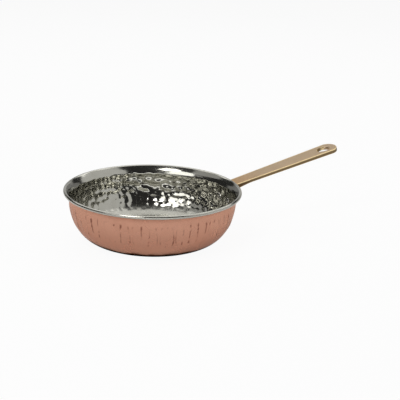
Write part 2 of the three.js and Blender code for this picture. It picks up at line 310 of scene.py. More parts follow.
def inward(lean):
    return Vector((-math.cos(lean), math.sin(lean)))


plies = SHELL_THICKNESS + PLY_CLEARANCE + LINING_THICKNESS
curl_radius = plies
curl_inner = curl_radius - LINING_THICKNESS
curl_turn = 1.5 * math.pi - math.asin(CURL_CLEARANCE / curl_inner)
lip_edge = Vector((RIM_RADIUS - curl_radius, PAN_HEIGHT - curl_radius))
lip_bend_centre = lip_edge - along(LIP_FLARE) * LIP_LENGTH - inward(LIP_FLARE) * LIP_BEND_RADIUS
wall_top = lip_bend_centre + inward(WALL_LEAN) * LIP_BEND_RADIUS
base_edge = Vector((BASE_RADIUS, 0))
wall_pulls = [base_edge, base_edge + Vector((CORNER_PULL, 0)),
              wall_top - along(WALL_LEAN) * WALL_PULL, wall_top]


def wall_at(t):
    """Point of the wall's outer face at a share t of its curve, and the normal there on the food side."""
    a, b, c, d = wall_pulls
    u = 1 - t
    point = a * u ** 3 + b * (3 * u * u * t) + c * (3 * u * t * t) + d * t ** 3
    tangent = ((b - a) * u * u + (c - b) * (2 * u * t) + (d - c) * t * t).normalized()
    return point, Vector((-tangent.y, tangent.x))


def face(depth):
    """Outline of the sheets at a depth behind the outer face: a wall and a lip, without the base."""
    wall = [wall_at(i / CURVE_STEPS) for i in range(CURVE_STEPS + 1)]
    points = [point + food * depth for point, food in wall]
    for i in range(1, CURVE_STEPS + 1):
        lean = WALL_LEAN + (LIP_FLARE - WALL_LEAN) * i / CURVE_STEPS
        points.append(lip_bend_centre + inward(lean) * (LIP_BEND_RADIUS + depth))
    return points + [lip_edge + inward(LIP_FLARE) * depth]


def evenly(points, spacing):
    """The same line with its points set at an even spacing."""
    lengths = [0.0]
    for a, b in zip(points, points[1:]):
        lengths.append(lengths[-1] + (b - a).length)
    count = max(1, round(lengths[-1] / spacing))
    made, k = [], 0
    for i in range(count + 1):
        want = lengths[-1] * i / count
        while k < len(points) - 2 and lengths[k + 1] < want:
            k += 1
        share = (want - lengths[k]) / max(lengths[k + 1] - lengths[k], 1e-12)
        made.append(points[k].lerp(points[k + 1], min(1.0, share)))
    return made


def round_the_edge(radius, steps):
    """The curl round the copper's edge, from the food side over the rim and back to the copper's outside."""
    turns = [curl_turn * i / steps for i in range(steps + 1)]
    ways = [inward(LIP_FLARE) * math.cos(turn) + along(LIP_FLARE) * math.sin(turn) for turn in turns]
    return [lip_edge + way * radius for way in ways]


print("outline: wall ends at", [round(x / MM, 2) for x in wall_top], "mm, curl of",
      round(math.degrees(curl_turn)), "degrees")

# %% [markdown]
# ## Hammer marks
# A planishing hammer leaves shallow round hollows in staggered rows, a little out of line because the hand
# wanders. They could be a bump map, but from the side and in the mirror of the steel only real hollows look
# right. So a Geometry Nodes tree turns an outline into a skin and then moves each point of the skin by its
# distance to the nearest mark: the marks meet in ridges, as the real ones do. A hollow rises with the fourth
# power of that distance, so its floor is flat and its ridges are narrow, up to a greatest height.
# Each mark is also a little deeper or shallower and tipped its own way, and the lines where marks meet waver.
# The outline carries two attributes: hammer fades the marks out, and rows says where rows of marks are set.

# %% Geometry Nodes tree for a hammered sheet
RIPPLE = 6 * MM
WIDE_BLUR = 6
CREASE_STARTS = 0.4


def hammered_sheet_tree():
    tree = bpy.data.node_groups.new("hammered_sheet", "GeometryNodeTree")
    numbers = ["Mark Spacing", "Mark Height", "Row Spacing", "Hammer Radius", "Depth Spread", "Tip Spread",
               "Wander", "Waver", "Ridge Height", "Hollow", "Crease Depth"]
    sockets = [("Outline", "Geometry"), ("Steps Around", "Int")] + [(name, "Float") for name in numbers]
    sockets += [("Rounding", "Int"), ("Seed", "Int"), ("Finish", "Material")]
    for name, kind in sockets:
        tree.interface.new_socket(name, in_out="INPUT", socket_type="NodeSocket" + kind)
    tree.interface.new_socket("Sheet", in_out="OUTPUT", socket_type="NodeSocketGeometry")
    given = add(tree, "NodeGroupInput").outputs
    place = add(tree, "GeometryNodeInputPosition")
    hammer = add(tree, "GeometryNodeInputNamedAttribute", {"Name": "hammer"})

    # Skin: a grid whose rows are the outline's points, wrapped round the axis
    rows = add(tree, "GeometryNodeAttributeDomainSize", {"Geometry": given["Outline"]}, component="MESH")
    columns = add(tree, MATH, {0: given["Steps Around"], 1: 1.0}, operation="ADD")
    grid = add(tree, "GeometryNodeMeshGrid", {
        "Size X": 1.0, "Size Y": 1.0, "Vertices X": rows.outputs["Point Count"], "Vertices Y": columns})
    cell = add(tree, "ShaderNodeSeparateXYZ", {0: place})
    last_row = add(tree, MATH, {0: rows.outputs["Point Count"], 1: 1.0}, operation="SUBTRACT")
    share = add(tree, MATH, {0: cell.outputs["X"], 1: 0.5}, operation="ADD")
    row = add(tree, MATH, {
        0: add(tree, MATH, {0: share, 1: last_row}, operation="MULTIPLY")}, operation="ROUND")
    turn = add(tree, MATH, {0: cell.outputs["Y"], 1: 2 * math.pi}, operation="MULTIPLY")
    point = add(tree, "GeometryNodeSampleIndex", {
        "Geometry": given["Outline"], "Value": place, "Index": row}, data_type="FLOAT_VECTOR")
    amount = add(tree, "GeometryNodeSampleIndex", {
        "Geometry": given["Outline"], "Value": hammer, "Index": row})
    kept = add(tree, "GeometryNodeStoreNamedAttribute", {
        "Geometry": grid, "Name": "hammer", "Value": amount})
    wrapped = add(tree, "ShaderNodeVectorRotate", {"Vector": point, "Angle": turn}, rotation_type="Z_AXIS")
    skin = add(tree, "GeometryNodeSetPosition", {"Geometry": kept, "Position": wrapped})
    skin = add(tree, "GeometryNodeMergeByDistance", {"Geometry": skin, "Distance": WELD})

    # Marks: rows of points along the hammered stretch, each row set out round the axis
    has_rows = add(tree, "GeometryNodeInputNamedAttribute", {"Name": "rows"}, data_type="BOOLEAN")
    stretch = add(tree, "GeometryNodeMeshToCurve", {"Mesh": given["Outline"], "Selection": has_rows})
    length = add(tree, "GeometryNodeCurveLength", {"Curve": stretch})
    gaps = add(tree, MATH, {0: length, 1: given["Row Spacing"]}, operation="DIVIDE")
    line_count = add(tree, MATH, {
        0: add(tree, MATH, {0: gaps}, operation="ROUND"), 1: 1.0}, operation="ADD")
    lines = add(tree, "GeometryNodeCurveToPoints", {"Curve": stretch, "Count": line_count}, mode="COUNT")
    number = add(tree, "GeometryNodeInputIndex")
    lines_kept = add(tree, "GeometryNodeStoreNamedAttribute", {
        "Geometry": lines, "Name": "slope", "Value": lines.outputs["Tangent"]},
        data_type="FLOAT_VECTOR")
    lines_kept = add(tree, "GeometryNodeStoreNamedAttribute", {
        "Geometry": lines_kept, "Name": "row", "Value": number}, data_type="INT")
    radius = add(tree, "ShaderNodeSeparateXYZ", {0: place})
    girth = add(tree, MATH, {0: radius.outputs["X"], 1: 2 * math.pi}, operation="MULTIPLY")
    fitting = add(tree, MATH, {0: girth, 1: given["Mark Spacing"]}, operation="DIVIDE")
    count = add(tree, MATH, {
        0: add(tree, MATH, {0: fitting}, operation="ROUND"), 1: 1.0}, operation="MAXIMUM")
    counted = add(tree, "GeometryNodeStoreNamedAttribute", {
        "Geometry": lines_kept, "Name": "count", "Value": count})
    marks = add(tree, "GeometryNodeDuplicateElements", {"Geometry": counted, "Amount": count})
    row_number = add(tree, "GeometryNodeInputNamedAttribute", {"Name": "row"}, data_type="INT")
    slope = add(tree, "GeometryNodeInputNamedAttribute", {"Name": "slope"}, data_type="FLOAT_VECTOR")
    in_row = add(tree, "GeometryNodeInputNamedAttribute", {"Name": "count"})
    stagger = add(tree, MATH, {0: row_number, 1: 0.5}, operation="MULTIPLY")
    back = add(tree, MATH, {0: given["Wander"], 1: -1.0}, operation="MULTIPLY")
    sideways = add(tree, "FunctionNodeRandomValue", {
        "Min": back, "Max": given["Wander"], "Seed": given["Seed"]})
    next_seed = add(tree, MATH, {0: given["Seed"], 1: 1.0}, operation="ADD")
    upwards = add(tree, "FunctionNodeRandomValue", {"Min": back, "Max": given["Wander"], "Seed": next_seed})
    step = add(tree, MATH, {0: marks.outputs["Duplicate Index"], 1: stagger}, operation="ADD")
    step = add(tree, MATH, {0: step, 1: sideways}, operation="ADD")
    part = add(tree, MATH, {0: step, 1: in_row}, operation="DIVIDE")
    angle = add(tree, MATH, {0: part, 1: 2 * math.pi}, operation="MULTIPLY")
    slide = add(tree, MATH, {0: upwards, 1: given["Row Spacing"]}, operation="MULTIPLY")
    slid = add(tree, VECTOR_MATH, {0: slope, "Scale": slide}, operation="SCALE")
    moved = add(tree, VECTOR_MATH, {0: place, 1: slid}, operation="ADD")
    set_out = add(tree, "ShaderNodeVectorRotate", {"Vector": moved, "Angle": angle}, rotation_type="Z_AXIS")
    marks = add(tree, "GeometryNodeSetPosition", {"Geometry": marks, "Position": set_out})

    # Dish: how far a point of the skin lies from its mark says how much it stands above the mark's floor
    flatten = add(tree, MATH, {0: given["Mark Spacing"], 1: given["Mark Height"]}, operation="DIVIDE")
    squeeze = add(tree, "ShaderNodeCombineXYZ", {"X": 1.0, "Y": 1.0, "Z": flatten})
    squeezed = add(tree, VECTOR_MATH, {0: place, 1: squeeze}, operation="MULTIPLY")
    squeezed_marks = add(tree, "GeometryNodeSetPosition", {"Geometry": marks, "Position": squeezed})
    ripple = add(tree, "ShaderNodeTexNoise", {"Vector": place, "Scale": 1 / RIPPLE, "Detail": 1.0})
    ripple = add(tree, VECTOR_MATH, {0: ripple.outputs["Color"], 1: (0.5, 0.5, 0.5)}, operation="SUBTRACT")
    ripple = add(tree, VECTOR_MATH, {0: ripple, "Scale": given["Waver"]}, operation="SCALE")
    asked = add(tree, VECTOR_MATH, {0: squeezed, 1: ripple}, operation="ADD")
    nearest = add(tree, "GeometryNodeSampleNearest", {"Geometry": squeezed_marks, "Sample Position": asked})
    centre = add(tree, "GeometryNodeSampleIndex", {
        "Geometry": marks, "Value": place, "Index": nearest}, data_type="FLOAT_VECTOR")
    shallow = add(tree, MATH, {0: given["Depth Spread"], 1: -1.0}, operation="MULTIPLY")
    depth = add(tree, "FunctionNodeRandomValue", {
        "Min": shallow, "Max": given["Depth Spread"], "Seed": given["Seed"]})
    lift = add(tree, "GeometryNodeSampleIndex", {"Geometry": marks, "Value": depth, "Index": nearest})
    tips = add(tree, "FunctionNodeRandomValue", {
        "Min": (-1.0, -1.0, -1.0), "Max": (1.0, 1.0, 1.0), "Seed": next_seed}, data_type="FLOAT_VECTOR")
    tip = add(tree, "GeometryNodeSampleIndex", {
        "Geometry": marks, "Value": tips, "Index": nearest}, data_type="FLOAT_VECTOR")
    offset = add(tree, VECTOR_MATH, {0: place, 1: centre}, operation="SUBTRACT")
    away = add(tree, VECTOR_MATH, {0: offset, 1: squeeze}, operation="MULTIPLY")
    away = add(tree, VECTOR_MATH, {0: away}, operation="LENGTH")
    away = add(tree, MATH, {0: away, 1: given["Mark Spacing"]}, operation="MINIMUM")
    square = add(tree, MATH, {0: away, 1: away}, operation="MULTIPLY")
    twice = add(tree, MATH, {0: given["Hammer Radius"], 1: 2.0}, operation="MULTIPLY")
    dish = add(tree, MATH, {0: square, 1: twice}, operation="DIVIDE")
    half_mark = add(tree, MATH, {0: given["Mark Spacing"], 1: 0.5}, operation="MULTIPLY")
    edge_square = add(tree, MATH, {0: half_mark, 1: half_mark}, operation="MULTIPLY")
    share_out = add(tree, MATH, {0: square, 1: edge_square}, operation="DIVIDE")
    dish = add(tree, MATH, {0: dish, 1: share_out}, operation="MULTIPLY")
    tipped = add(tree, VECTOR_MATH, {0: tip, 1: offset}, operation="DOT_PRODUCT")
    tipped = add(tree, MATH, {0: tipped, 1: given["Tip Spread"]}, operation="MULTIPLY")
    rise = dish
    for operation, amount in (("ADD", lift), ("ADD", tipped), ("MINIMUM", given["Ridge Height"]),
                              ("MULTIPLY", given["Hollow"]), ("MULTIPLY", hammer)):
        rise = add(tree, MATH, {0: rise, 1: amount}, operation=operation)
    soft = add(tree, "GeometryNodeBlurAttribute", {"Value": rise, "Iterations": given["Rounding"]})
    normal = add(tree, "GeometryNodeInputNormal")
    shift = add(tree, VECTOR_MATH, {0: normal, "Scale": soft}, operation="SCALE")

    # Creases: where the skin lies well below its own wide average
    wide = add(tree, "GeometryNodeBlurAttribute", {"Value": rise, "Iterations": WIDE_BLUR})
    sunk = add(tree, MATH, {0: wide, 1: soft}, operation="SUBTRACT")
    shallowest = add(tree, MATH, {0: given["Crease Depth"], 1: CREASE_STARTS}, operation="MULTIPLY")
    crease = add(tree, "ShaderNodeMapRange", {
        "Value": sunk, "From Min": shallowest, "From Max": given["Crease Depth"]},
        interpolation_type="SMOOTHSTEP")
    marked = add(tree, "GeometryNodeStoreNamedAttribute", {
        "Geometry": skin, "Name": "crease", "Value": crease})
    sheet = add(tree, "GeometryNodeSetPosition", {"Geometry": marked, "Offset": shift})
    sheet = add(tree, "GeometryNodeSetShadeSmooth", {"Geometry": sheet})
    sheet = add(tree, "GeometryNodeRealizeInstances", {"Geometry": sheet})
    sheet = add(tree, "GeometryNodeSetMaterial", {"Geometry": sheet, "Material": given["Finish"]})
    add(tree, "NodeGroupOutput", {"Sheet": sheet})
    return tree


hammered_sheet = hammered_sheet_tree()
print("tree:", hammered_sheet.name, len(hammered_sheet.nodes), "nodes")


# %% Helpers that run a tree and settle a piece
def new_object(name, points, edges=(), faces=()):
    mesh = bpy.data.meshes.new(name)
    mesh.from_pydata(points, edges, faces)
    piece = bpy.data.objects.new(name, mesh)
    bpy.context.scene.collection.objects.link(piece)
    return piece


def run_tree(piece, tree, **values):
    """Puts a tree on a piece, with its inputs set by their socket identifiers."""
    modifier = piece.modifiers.new(tree.name, "NODES")
    modifier.node_group = tree
    for item in tree.interface.items_tree:
        name = item.name.lower().replace(" ", "_")
        if item.in_out == "INPUT" and name in values:
            modifier[item.identifier] = values[name]


def settle(piece):
    """Turns what the modifiers made into the piece's own plain mesh, with its faces pointing outwards."""
    made = bpy.data.meshes.new_from_object(piece.evaluated_get(bpy.context.evaluated_depsgraph_get()))
    piece.modifiers.clear()
    piece.data = made
    work = bmesh.new()
    work.from_mesh(made)
    inside_out = work.calc_volume(signed=True) < 0
    if inside_out:
        bmesh.ops.reverse_faces(work, faces=work.faces)
        work.to_mesh(made)
    open_edges = sum(1 for e in work.edges if not e.is_manifold)
    work.free()
    made.calc_loop_triangles()
    print("piece:", piece.name, len(made.loop_triangles), "triangles,", open_edges, "open edges, turned",
          inside_out)
    return piece


# %% [markdown]
# ## Steel lining
# The food side is hammered in rows from the middle of the base up to the lip. The marks are faint on the
# base, full on the wall, and stop in a scalloped line below the lip, which is left smooth. Its edge is curled
# over the copper's and back below it, which makes the rim's thin bead. The side that lies on the copper
# never shows, so it has few points.

# %% Steel lining
FINE = 0.75 * MM
BASE_FINE = 1.3 * MM
COARSE = 6 * MM
STEPS_AROUND = 512
CURL_STEPS = 12
FULL_MARKS_FROM = 4 * MM
FOOT_FADE = 14 * MM
FOOT_SHARE = 0.1
LAST_ROW = 40.5 * MM
SMOOTH_FROM = 43.5 * MM
SMOOTH_FADE = 3 * MM


def fade_in(x, start, width):
    share = min(1.0, max(0.0, (x - start) / width))
    return share * share * (3 - 2 * share)


def outline_object(name, points, hammer, rows):
    """A line of points in the XZ plane that carries the hammer and rows attributes."""
    line = new_object(name, [(p.x, 0, p.y) for p in points], [(i, i + 1) for i in range(len(points) - 1)])
    line.data.attributes.new("hammer", "FLOAT", "POINT").data.foreach_set("value", hammer)
    line.data.attributes.new("rows", "BOOLEAN", "POINT").data.foreach_set("value", rows)
    return line


def steel_lining():
    under = SHELL_THICKNESS + PLY_CLEARANCE
    food_side = evenly([Vector((0, plies)), face(plies)[0]], BASE_FINE)[:-1] + evenly(face(plies), FINE)
    hidden_side = evenly([Vector((0, under))] + face(under), COARSE)
    over = round_the_edge(curl_radius, CURL_STEPS)
    back = round_the_edge(curl_inner, CURL_STEPS)
    points = food_side + over[1:] + back[::-1][:-1] + hidden_side[::-1]
    hammer = []
    for p in food_side:
        above_foot = FOOT_SHARE + (1 - FOOT_SHARE) * fade_in(p.y, FULL_MARKS_FROM, FOOT_FADE)
        hammer.append(above_foot * (1 - fade_in(p.y, SMOOTH_FROM, SMOOTH_FADE)))
    hammer += [0.0] * (len(points) - len(hammer))
    rows = [i < len(food_side) and p.y < LAST_ROW for i, p in enumerate(points)]
    piece = outline_object("hammered_steel_lining", points, hammer, rows)
    run_tree(piece, hammered_sheet, steps_around=STEPS_AROUND, mark_spacing=8.2 * MM, mark_height=8.2 * MM,
             row_spacing=7.4 * MM, hammer_radius=17 * MM, depth_spread=0.06 * MM, tip_spread=0.06,
             wander=0.24, waver=0.8 * MM, ridge_height=0.6 * MM, hollow=1.0, crease_depth=0.16 * MM,
             rounding=2, seed=3, finish=steel)
    return settle(piece)


lining_piece = steel_lining()

# %% [markdown]
# ## Copper shell
# Each blow from the inside pushes the copper out, so outside the marks are low bulges with creases between
# them. On this pan they run together into one ring of tall bulges parted by short upright creases, so the
# shell has a single row of tall marks. The band under the rim and the flat base stay smooth.

# %% Copper shell
BULGED_FROM = 1.2 * MM
BULGE_FADE = 2.5 * MM
FULL_FROM = 13 * MM
FULL_FADE = 10 * MM
PLAIN_FROM = 37 * MM
PLAIN_FADE = 6 * MM
LOW_SHARE = 0.05
ROW_FROM = 28 * MM
ROW_TO = 30.5 * MM
SHELL_FINE = 0.85 * MM
SHELL_STEPS_AROUND = 768


def copper_shell():
    outside = evenly(face(0), SHELL_FINE)
    inside = evenly(face(SHELL_THICKNESS), COARSE)
    base = evenly([Vector((0, 0)), base_edge], COARSE)[:-1]
    points = base + outside + inside[::-1] + [Vector((0, SHELL_THICKNESS))]
    hammer = [0.0] * len(base)
    for p in outside:
        high_up = LOW_SHARE + (1 - LOW_SHARE) * fade_in(p.y, FULL_FROM, FULL_FADE)
        below_lip = 1 - fade_in(p.y, PLAIN_FROM, PLAIN_FADE)
        hammer.append(fade_in(p.y, BULGED_FROM, BULGE_FADE) * below_lip * high_up)
    rows = [len(base) <= i < len(hammer) and ROW_FROM < p.y < ROW_TO for i, p in enumerate(points)]
    hammer += [0.0] * (len(points) - len(hammer))
    piece = outline_object("hammered_copper_shell", points, hammer, rows)
    run_tree(piece, hammered_sheet, steps_around=SHELL_STEPS_AROUND, mark_spacing=8.6 * MM,
             mark_height=40 * MM, row_spacing=8.4 * MM, hammer_radius=24 * MM, depth_spread=0.08 * MM,
             tip_spread=0.03, wander=0.34, waver=5 * MM, ridge_height=0.5 * MM, hollow=-1.0,
             crease_depth=0.08 * MM, rounding=1, seed=11, finish=copper)
    return settle(piece)


shell_piece = copper_shell()

# %% [markdown]
# ## Brass handle
# The handle is one casting. Its palm lies on the wall, a bend passes close under the rim, and a flat bar
# rises to a rounded end with a drop-shaped eye. It is a loft: rounded sections strung along the seat line
# that the CAD model uses, which runs up the wall, bends at a corner and follows the bar to its tip.

# %% Seat line of the handle
SEAT_CLEARANCE = 0.3 * MM
RIM_CLEARANCE = 0.35 * MM
RIVET_HEIGHT = PAN_HEIGHT - 21 * MM
RIVET_SPACING = 20 * MM
RIVET_HEAD_DIAMETER = 9 * MM
PALM_TOP = PAN_HEIGHT - 11 * MM
PALM_ROUND = 12 * MM
PALM_MARGIN = 2.5 * MM
PALM_THICKNESS = 3 * MM
HANDLE_PITCH = math.radians(13.2)
TIP_TRIM = 0.25 * MM
HANDLE_TIP = RIM_RADIUS + 125 * MM - TIP_TRIM
LINE_STEPS = 60


def wall_at_height(height):
    """Point of the shell's outer face at a height, and its outward normal."""
    low, high = 0.0, 1.0
    while high - low > 1e-9:
        middle = (low + high) / 2
        low, high = (middle, high) if wall_at(middle)[0].y < height else (low, middle)
    point, food = wall_at(low)
    return point, -food


def seat_at(height):
    point, outward = wall_at_height(height)
    return point + outward * SEAT_CLEARANCE


bar_direction = Vector((math.cos(HANDLE_PITCH), math.sin(HANDLE_PITCH)))
bar_under = Vector((math.sin(HANDLE_PITCH), -math.cos(HANDLE_PITCH)))
under_rim = lip_edge + bar_under * (curl_radius + RIM_CLEARANCE)
palm_bottom = RIVET_HEIGHT - PALM_ROUND
palm_line = [seat_at(palm_bottom + (PALM_TOP - palm_bottom) * i / LINE_STEPS) for i in range(LINE_STEPS + 1)]
outward_at_top = wall_at_height(PALM_TOP)[1]
palm_direction = Vector((-outward_at_top.y, outward_at_top.x))
gap = under_rim - palm_line[-1]
to_corner = (gap.x * bar_direction.y - gap.y * bar_direction.x) / (
    palm_direction.x * bar_direction.y - palm_direction.y * bar_direction.x)
corner = palm_line[-1] + palm_direction * to_corner
bar_start = corner + bar_direction * to_corner
bar_tip = bar_start + bar_direction * ((HANDLE_TIP - bar_start.x) / bar_direction.x)
bend_line = []
for i in range(1, LINE_STEPS + 1):
    t = i / LINE_STEPS
    bend_line.append(palm_line[-1] * (1 - t) ** 2 + corner * (2 * t * (1 - t)) + bar_start * t * t)
seat_points = palm_line + bend_line + [bar_tip]
seat_lengths = [0.0]
for a, b in zip(seat_points, seat_points[1:]):
    seat_lengths.append(seat_lengths[-1] + (b - a).length)
palm_end, bend_end, handle_length = (seat_lengths[k] for k in (LINE_STEPS, 2 * LINE_STEPS, -1))
print("handle: seat line", round(handle_length / MM, 1), "mm, bar from",
      [round(x / MM, 1) for x in bar_start])

# %% [markdown]
# A casting changes thickness where it carries load. The bar is narrow and thin at its root and grows towards
# the tip, and a web thickens the bend, where the pan's weight hangs on it. Each section is a flat box with
# rounded edges, and its points carry how much edge wear and painted highlight they get, and whether they face
# sideways, where the brass takes painted shade.

# %% Sections of the handle
BAR_ROOT_WIDTH = 17.8 * MM
BAR_END_WIDTH = 23.4 * MM
BAR_ROOT_THICKNESS = 3.2 * MM
BAR_END_THICKNESS = 3.9 * MM
BAR_END_ROUND = 9.5 * MM
WEB_THICKNESS = 5.4 * MM
WEB_LENGTH = 20 * MM
EDGE_RADIUS = 0.9 * MM
EDGE_STEPS = 5
FLAT_STEPS = 14
palm_width = RIVET_SPACING + RIVET_HEAD_DIAMETER + 2 * PALM_MARGIN
web_end = bend_end + WEB_LENGTH
bend_middle = (palm_end + bend_end) / 2
round_start = handle_length - BAR_END_ROUND


def mix(a, b, share):
    return a + (b - a) * share


def along_bar(s):
    return min(1.0, max(0.0, (s - bend_end) / (round_start - bend_end)))


def half_width(s):
    bar = mix(BAR_ROOT_WIDTH, BAR_END_WIDTH, along_bar(s)) / 2
    full = mix(palm_width / 2, bar, fade_in(s, PALM_ROUND, bend_end - PALM_ROUND))
    past = 1 - s / PALM_ROUND if s < PALM_ROUND else max(0.0, s - round_start) / BAR_END_ROUND
    return full * math.sqrt(max(0.0, 1 - past * past))


def thickness(s):
    bar = mix(BAR_ROOT_THICKNESS, BAR_END_THICKNESS, along_bar(s))
    plain = mix(PALM_THICKNESS, bar, fade_in(s, palm_end, bend_end - palm_end))
    rise_start = (PALM_ROUND + palm_end) / 2
    rise = fade_in(s, rise_start, bend_middle - rise_start)
    fall = fade_in(s, bend_middle, web_end - bend_middle)
    return mix(plain, WEB_THICKNESS, rise * (1 - fall))


def section(half, deep):
    """Rounded section as place, edge mark and side: the edge mark (wear and painted highlight) is 1 where an
    edge meets a flat, side (painted shade) is 1 on the sides.
    """
    radius = min(EDGE_RADIUS, half / 2, deep / 2)
    ring = []
    for k, (side, low) in enumerate(((1, 0), (-1, 0), (-1, 1), (1, 1))):
        centre = Vector((side * (half - radius), deep - radius if low else radius))
        for i in range(EDGE_STEPS + 1):
            turn = math.pi / 2 * (k + i / EDGE_STEPS)
            out = Vector((math.cos(turn), -math.sin(turn)))
            ring.append((centre + out * radius, abs(out.y), out.x ** 2))
        if k in (0, 2):
            start = ring[-1][0]
            ring += [(Vector((mix(start.x, -start.x, i / FLAT_STEPS), start.y)), 0.0, 0.0)
                     for i in range(1, FLAT_STEPS)]
    return ring


def seat_frame(s):
    """Point of the seat line at a distance along it, and the direction to the handle's underside."""
    last = len(seat_lengths) - 2
    k = next(i for i in range(last + 1) if s <= seat_lengths[i + 1] or i == last)
    a, b = seat_points[k], seat_points[k + 1]
    share = (s - seat_lengths[k]) / (seat_lengths[k + 1] - seat_lengths[k])
    before = seat_points[max(0, k - 1)]
    after = seat_points[min(len(seat_points) - 1, k + 2)]
    tangent = (b - before).normalized().lerp((after - a).normalized(), share).normalized()
    return a.lerp(b, share), Vector((tangent.y, -tangent.x))


# %% Handle loft
STATION_SPACING = 1.6 * MM
END_STEPS = 16
END_TURN = math.radians(88)


def stations():
    ends = [END_TURN * i / END_STEPS for i in range(1, END_STEPS + 1)]
    start = [PALM_ROUND * (1 - math.sin(turn)) for turn in reversed(ends)]
    count = round((round_start - PALM_ROUND) / STATION_SPACING)
    middle = [mix(PALM_ROUND, round_start, i / count) for i in range(count + 1)]
    return start + middle + [round_start + BAR_END_ROUND * math.sin(turn) for turn in ends]


def mark_edges_and_sides(piece, worn_and_highlit, sides):
    """Gives a piece the attributes for edge wear with its painted highlight and for the sides' painted shade,
    which the brass finish reads.
    """
    piece.data.attributes.new("worn_and_highlit", "FLOAT", "POINT").data.foreach_set("value", worn_and_highlit)
    piece.data.attributes.new("side", "FLOAT", "POINT").data.foreach_set("value", sides)
    return piece


def skin_faces(rings, ring):
    """Faces that join rings of points in order, with a cap on the first ring and on the last."""
    faces = [[r * ring + i, r * ring + (i + 1) % ring, (r + 1) * ring + (i + 1) % ring, (r + 1) * ring + i]
             for r in range(rings - 1) for i in range(ring)]
    return faces + [list(range(ring))[::-1], [(rings - 1) * ring + i for i in range(ring)]]


def handle_loft():
    points, worn_and_highlit, sides = [], [], []
    for s in stations():
        seat, under = seat_frame(s)
        wrap = 1 - fade_in(s, palm_end, bend_end - palm_end)
        for place, wear_and_highlight, side in section(half_width(s), thickness(s)):
            x = seat.x + place.y * under.x
            turn = place.x / seat.x
            points.append((mix(x, x * math.cos(turn), wrap), mix(place.x, x * math.sin(turn), wrap),
                           seat.y + place.y * under.y))
            worn_and_highlit.append(wear_and_highlight)
            sides.append(side)
    ring = len(section(1.0, 1.0))
    faces = skin_faces(len(points) // ring, ring)
    return mark_edges_and_sides(new_object("cast_brass_handle", points, faces=faces), worn_and_highlit, sides)


print("handle: loft of", len(stations()), "sections")

# %% [markdown]
# The eye is cast with the handle, so its rims are rounded. A spool with flaring ends, taken away from the
# bar, cuts the hole and rounds both rims in one go, and hands its own edge marks to the cut faces: wear with
# a painted highlight on the rims, and painted shade on the eye's wall.

# %% Eye of the handle
EYE_LENGTH = 13.4 * MM
EYE_WIDTH = 10.6 * MM
EYE_POINT_WIDTH = 7 * MM
EYE_FROM_TIP = 8.6 * MM
EYE_ROUND = 1.5 * MM
EYE_STEPS = 24
FLARE_STEPS = 8
FLARE_TURN = math.radians(72)


def eye_outline(grow):
    """The drop shape, larger all round by grow: a wide round end and a narrower one."""
    wide, narrow = EYE_WIDTH / 2, EYE_POINT_WIDTH / 2
    between = EYE_LENGTH - wide - narrow
    meet = math.acos((narrow - wide) / between)
    points = []
    for i in range(EYE_STEPS + 1):
        turn = mix(-meet, meet, i / EYE_STEPS)
        points.append(Vector((math.cos(turn), math.sin(turn))) * (wide + grow))
    for i in range(EYE_STEPS + 1):
        turn = mix(meet, 2 * math.pi - meet, i / EYE_STEPS)
        points.append(Vector((math.cos(turn), math.sin(turn))) * (narrow + grow) - Vector((between, 0)))
    return points


def eye_spool():
    """Cutter for the eye: the drop shape all through, flaring at the bar's two faces."""
    s = handle_length - EYE_FROM_TIP - EYE_WIDTH / 2
    centre, under = seat_frame(s)
    deep = thickness(s)
    levels = []
    for i in range(FLARE_STEPS + 1):
        turn = FLARE_TURN * (1 - i / FLARE_STEPS)
        levels.append((EYE_ROUND * (1 - math.sin(turn)), EYE_ROUND * (1 - math.cos(turn)), turn))
    level, grow, turn = levels[0]
    levels = [(level - EYE_ROUND, grow * 2, turn)] + levels
    levels += [(deep - level, grow, turn) for level, grow, turn in reversed(levels)]
    rings, worn_and_highlit, sides = [], [], []
    for level, grow, turn in levels:
        for p in eye_outline(grow):
            at = centre + bar_direction * p.x + under * level
            rings.append((at.x, p.y, at.y))
            worn_and_highlit.append(math.sin(2 * turn) ** 2)
            sides.append(math.cos(turn) ** 2)
    faces = skin_faces(len(levels), len(eye_outline(0.0)))
    return mark_edges_and_sides(new_object("eye_spool", rings, faces=faces), worn_and_highlit, sides)


print("eye:", round(EYE_LENGTH / MM, 1), "by", round(EYE_WIDTH / MM, 1), "mm")


# %% Finish the handle
SHARP_ANGLE = math.radians(40)


def outwards(piece):
    work = bmesh.new()
    work.from_mesh(piece.data)
    bmesh.ops.recalc_face_normals(work, faces=work.faces)
    work.to_mesh(piece.data)
    work.free()
    return piece


def brass_handle():
    piece = outwards(handle_loft())
    cutter = outwards(eye_spool())
    cut = piece.modifiers.new("eye", "BOOLEAN")
    cut.operation, cut.object, cut.solver = "DIFFERENCE", cutter, "EXACT"
    piece.data.materials.append(brass)
    settle(piece)
    bpy.data.objects.remove(cutter)
    piece.data.shade_smooth()
    piece.data.set_sharp_from_angle(angle=SHARP_ANGLE)
    return piece


handle_piece = brass_handle()

# %% [markdown]
# ## Rivets
# Two stout rivets pass through palm, copper and steel, square to the wall, and end in a dome on each side.
# One rivet is turned from its outline, and a Geometry Nodes tree sets a copy at each place, which is what a
# maker does with a handful of the same fasteners.

# %% One rivet
RIVET_DIAMETER = 5 * MM
RIVET_HEAD_HEIGHT = 2.2 * MM
RIVET_INNER_HEAD_HEIGHT = 1.3 * MM
RIVET_HEAD_CLEARANCE = 0.4 * MM
RIVET_STEPS = 40
DOME_STEPS = 12


